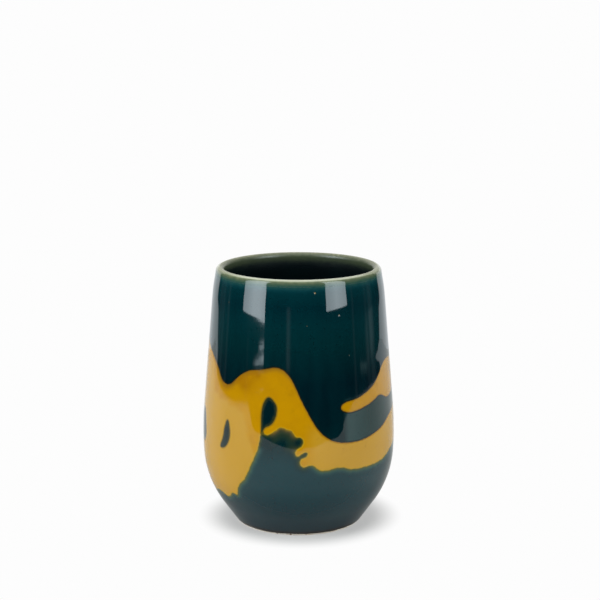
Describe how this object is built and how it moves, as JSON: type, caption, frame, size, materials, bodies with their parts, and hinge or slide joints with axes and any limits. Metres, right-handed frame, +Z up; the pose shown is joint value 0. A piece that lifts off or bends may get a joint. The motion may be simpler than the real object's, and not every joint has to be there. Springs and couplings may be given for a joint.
{
  "type": "toothbrush holder",
  "caption": "Free-standing round stoneware tumbler for toothbrushes: low belly, inward wall, rounded lip, turned foot ring, and poured glazes as separate skins.",
  "frame": {"origin": "on the table at the middle of the foot ring", "axes": "+Z up along the cup's axis, -Y towards the front that the picture shows, +X to the right seen from the front"},
  "size_m": [0.0842, 0.0842, 0.1131],
  "materials": {
    "bare_stoneware": "bare fired stoneware, matt cream",
    "dark_liner_glaze": "near-black green, high gloss",
    "olive_lip_glaze": "olive cream where the glaze breaks thin, high gloss",
    "teal_glaze": "dark teal, high gloss",
    "mustard_glaze": "mustard yellow, high gloss"
  },
  "bodies": {
    "root": {"stoneware_body": "bare_stoneware", "liner_glaze": "dark_liner_glaze", "lip_glaze": "olive_lip_glaze", "teal_upper_glaze": "teal_glaze", "teal_foot_glaze": "teal_glaze", "teal_drop_glaze": "teal_glaze", "teal_slit_glaze": "teal_glaze", "teal_patch_glaze": "teal_glaze", "mustard_glaze": "mustard_glaze"}
  },
  "joints": []
}
